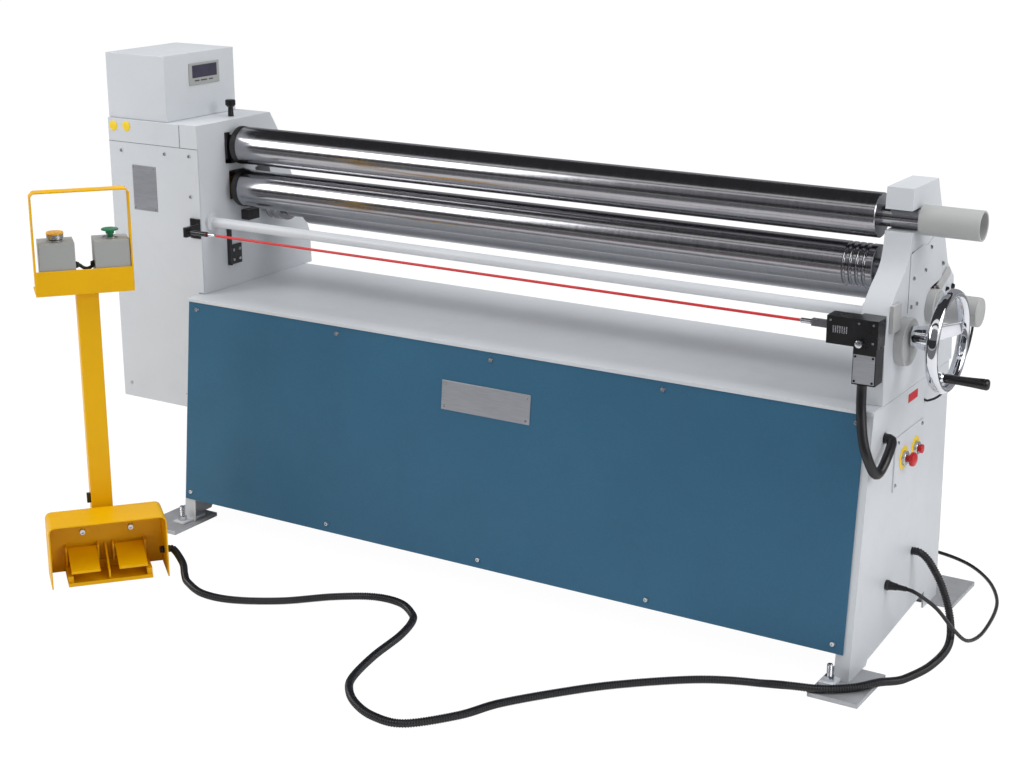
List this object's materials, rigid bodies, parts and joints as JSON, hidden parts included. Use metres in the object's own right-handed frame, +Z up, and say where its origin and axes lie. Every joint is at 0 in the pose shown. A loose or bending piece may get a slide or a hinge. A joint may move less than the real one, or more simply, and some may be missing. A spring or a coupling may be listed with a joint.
{
  "type": "plate rolling machine",
  "caption": "Motorised plate bending rolls on a folded sheet stand, with a swing-out top roll, a handwheel for the rear roll and a separate foot pedal post.",
  "frame": {"origin": "centre of the bounding box on the floor, without the loose hose, cord, coil and plug", "axes": "+X along the rolls towards the handwheel, +Y to the back, +Z up; the operator stands at -Y"},
  "size_m": [2.189, 1.4039, 1.124],
  "materials": {
    "blue_paint": "satin blue machine paint",
    "light_paint": "satin light grey paint",
    "grey_paint": "satin mid grey",
    "ground_steel": "ground and oiled",
    "dark_steel": "blackened",
    "chrome": "polished chrome",
    "black_plastic": "matt black",
    "black_rubber": "matt black",
    "yellow_paint": "satin yellow paint",
    "red_plastic": "gloss red",
    "green_plastic": "gloss green",
    "amber_plastic": "gloss amber",
    "box_grey": "matt grey",
    "bronze": "machined bronze"
  },
  "bodies": {
    "machine": {"stand_left_side": "light_paint", "stand_right_side": "light_paint", "stand_tray": "light_paint", "front_panel": "blue_paint", "levelling_foot_front_left": "dark_steel", "levelling_foot_front_right": "dark_steel", "levelling_foot_rear_left": "dark_steel", "levelling_foot_rear_right": "dark_steel", "left_end_frame": "light_paint", "right_end_frame": "light_paint", "right_end_cover": "light_paint", "drive_cover": "light_paint", "control_box": "light_paint", "display_unit": "black_plastic", "tie_bar": "light_paint", "handwheel_bearing": "grey_paint", "position_sensor": "grey_paint", "sensor_cable": "black_plastic", "gear_motor": "grey_paint", "rope_anchor": "black_plastic", "rope_switch_body": "black_plastic", "switch_conduit": "black_rubber", "electrical_cover": "light_paint", "foot_guard": "yellow_paint", "pedal_base": "yellow_paint", "pedestal_column": "yellow_paint", "button_box_left": "box_grey", "button_box_right": "box_grey", "pedal_hose": "black_rubber", "power_cord_gland": "black_plastic", "power_cord": "black_plastic", "power_cord_coil": "black_plastic", "power_plug": "black_plastic"},
    "swivel": {"top_roll_left_bearing": "dark_steel"},
    "top_roll_body": {"top_roll": "ground_steel", "top_roll_handle": "grey_paint"},
    "pinch_carriage": {"pinch_block_left": "bronze", "pinch_block_right": "bronze"},
    "pinch_roll_body": {"pinch_roll": "ground_steel"},
    "rear_carriage": {"rear_block_left": "bronze", "rear_block_right": "bronze"},
    "rear_roll_body": {"rear_roll": "ground_steel"},
    "left_screw": {"lift_screw_left": "ground_steel"},
    "right_screw": {"lift_screw_right": "ground_steel"},
    "cross_shaft_body": {"cross_shaft": "dark_steel"},
    "handwheel_body": {"handwheel": "chrome"},
    "grip_body": {"handwheel_grip": "black_plastic"},
    "top_gear": {"top_roll_gear": "dark_steel"},
    "pinch_gear": {"pinch_roll_gear": "dark_steel"},
    "pinion": {"drive_pinion": "dark_steel"},
    "rope_line": {"rope_switch_rod": "ground_steel", "trip_rope": "red_plastic"},
    "rope_reset": {"rope_switch_reset": "grey_paint"},
    "stop_mushroom": {"emergency_stop_button": "red_plastic"},
    "side_push": {"side_button": "red_plastic"},
    "pedal_forward": {"forward_pedal": "yellow_paint"},
    "pedal_reverse": {"reverse_pedal": "yellow_paint"},
    "start_push": {"start_button": "green_plastic"},
    "stop_push": {"stop_button": "amber_plastic"},
    "knob": {"lock_knob": "black_plastic"}
  },
  "joints": [
    {"name": "top_roll_swing", "type": "hinge", "parent": "machine", "child": "swivel", "pos_m": [-0.841, 0.15397, 0.907], "axis": [0, 0, -1], "range_deg": [0, 12]},
    {"name": "top_roll_spin", "type": "hinge", "parent": "swivel", "child": "top_roll_body", "pos_m": [-0.841, 0.15397, 0.907], "axis": [1, 0, 0], "continuous": true},
    {"name": "pinch_adjust", "type": "slide", "parent": "machine", "child": "pinch_carriage", "axis": [0, 0, 1], "range_m": [0, 0.012]},
    {"name": "pinch_roll_spin", "type": "hinge", "parent": "pinch_carriage", "child": "pinch_roll_body", "pos_m": [0.0165, 0.15397, 0.803], "axis": [1, 0, 0], "continuous": true},
    {"name": "rear_roll_lift", "type": "slide", "parent": "machine", "child": "rear_carriage", "axis": [0, -0.2999, 0.954], "range_m": [0, 0.075]},
    {"name": "rear_roll_spin", "type": "hinge", "parent": "rear_carriage", "child": "rear_roll_body", "pos_m": [0.0165, 0.27897, 0.749], "axis": [1, 0, 0], "continuous": true},
    {"name": "left_screw_turn", "type": "hinge", "parent": "rear_carriage", "child": "left_screw", "pos_m": [-0.841, 0.28647, 0.72515], "axis": [0, -0.2999, 0.954], "range_deg": [0, 9000]},
    {"name": "right_screw_turn", "type": "hinge", "parent": "rear_carriage", "child": "right_screw", "pos_m": [0.879, 0.28647, 0.72515], "axis": [0, -0.2999, 0.954], "range_deg": [0, 9000]},
    {"name": "cross_shaft_turn", "type": "hinge", "parent": "machine", "child": "cross_shaft_body", "pos_m": [0.0165, 0.32597, 0.47], "axis": [1, 0, 0], "range_deg": [0, 9000]},
    {"name": "handwheel_turn", "type": "hinge", "parent": "machine", "child": "handwheel_body", "pos_m": [0.9995, 0.09897, 0.686], "axis": [-1, 0, 0], "range_deg": [0, 9000]},
    {"name": "grip_spin", "type": "hinge", "parent": "handwheel_body", "child": "grip_body", "pos_m": [1.0065, 0.07097, 0.62], "axis": [1, 0, 0], "continuous": true},
    {"name": "pinch_gear_spin", "type": "hinge", "parent": "machine", "child": "pinch_gear", "pos_m": [-0.9, 0.15397, 0.803], "axis": [1, 0, 0], "continuous": true},
    {"name": "top_gear_spin", "type": "hinge", "parent": "machine", "child": "top_gear", "pos_m": [-0.9, 0.15397, 0.907], "axis": [1, 0, 0], "continuous": true},
    {"name": "pinion_spin", "type": "hinge", "parent": "machine", "child": "pinion", "pos_m": [-0.9, 0.21637, 0.7562], "axis": [1, 0, 0], "continuous": true},
    {"name": "rope_pull", "type": "slide", "parent": "machine", "child": "rope_line", "axis": [-1, 0, 0], "range_m": [0, 0.004], "stiffness_N_per_m": 1500, "springref_m": -0.003},
    {"name": "rope_reset_push", "type": "slide", "parent": "machine", "child": "rope_reset", "axis": [0, 1, 0], "range_m": [0, 0.0025], "stiffness_N_per_m": 600, "springref_m": -0.002},
    {"name": "emergency_stop_push", "type": "slide", "parent": "machine", "child": "stop_mushroom", "axis": [-1, 0, 0], "range_m": [0, 0.005], "stiffness_N_per_m": 1200, "springref_m": -0.003},
    {"name": "side_button_push", "type": "slide", "parent": "machine", "child": "side_push", "axis": [-1, 0, 0], "range_m": [0, 0.003], "stiffness_N_per_m": 800, "springref_m": -0.003},
    {"name": "forward_pedal_press", "type": "hinge", "parent": "machine", "child": "pedal_forward", "pos_m": [-0.81735, -0.44119, 0.056], "axis": [0.6474, 0.7621, 0], "range_deg": [0, 7], "stiffness_Nm_per_rad": 6, "springref_deg": -11.46},
    {"name": "reverse_pedal_press", "type": "hinge", "parent": "machine", "child": "pedal_reverse", "pos_m": [-0.74872, -0.36041, 0.056], "axis": [0.6474, 0.7621, 0], "range_deg": [0, 7], "stiffness_Nm_per_rad": 6, "springref_deg": -11.46},
    {"name": "start_button_push", "type": "slide", "parent": "machine", "child": "start_push", "axis": [0, 0, -1], "range_m": [0, 0.005], "stiffness_N_per_m": 900, "springref_m": -0.004},
    {"name": "stop_button_push", "type": "slide", "parent": "machine", "child": "stop_push", "axis": [0, 0, -1], "range_m": [0, 0.005], "stiffness_N_per_m": 900, "springref_m": -0.004},
    {"name": "lock_knob_turn", "type": "hinge", "parent": "machine", "child": "knob", "pos_m": [-0.8495, 0.18397, 0.968], "axis": [0, 0, 1], "range_deg": [0, 90]}
  ],
  "couplings": [
    {"joint": "top_roll_spin", "follows": "pinch_roll_spin", "ratio": -1},
    {"joint": "pinch_gear_spin", "follows": "pinch_roll_spin", "ratio": 1},
    {"joint": "top_gear_spin", "follows": "pinch_roll_spin", "ratio": -1},
    {"joint": "pinion_spin", "follows": "pinch_roll_spin", "ratio": -2},
    {"joint": "left_screw_turn", "follows": "rear_roll_lift", "rad_per_m": 2094.4},
    {"joint": "right_screw_turn", "follows": "rear_roll_lift", "rad_per_m": 2094.4},
    {"joint": "cross_shaft_turn", "follows": "rear_roll_lift", "rad_per_m": 2094.4},
    {"joint": "handwheel_turn", "follows": "rear_roll_lift", "rad_per_m": 2094.4}
  ]
}
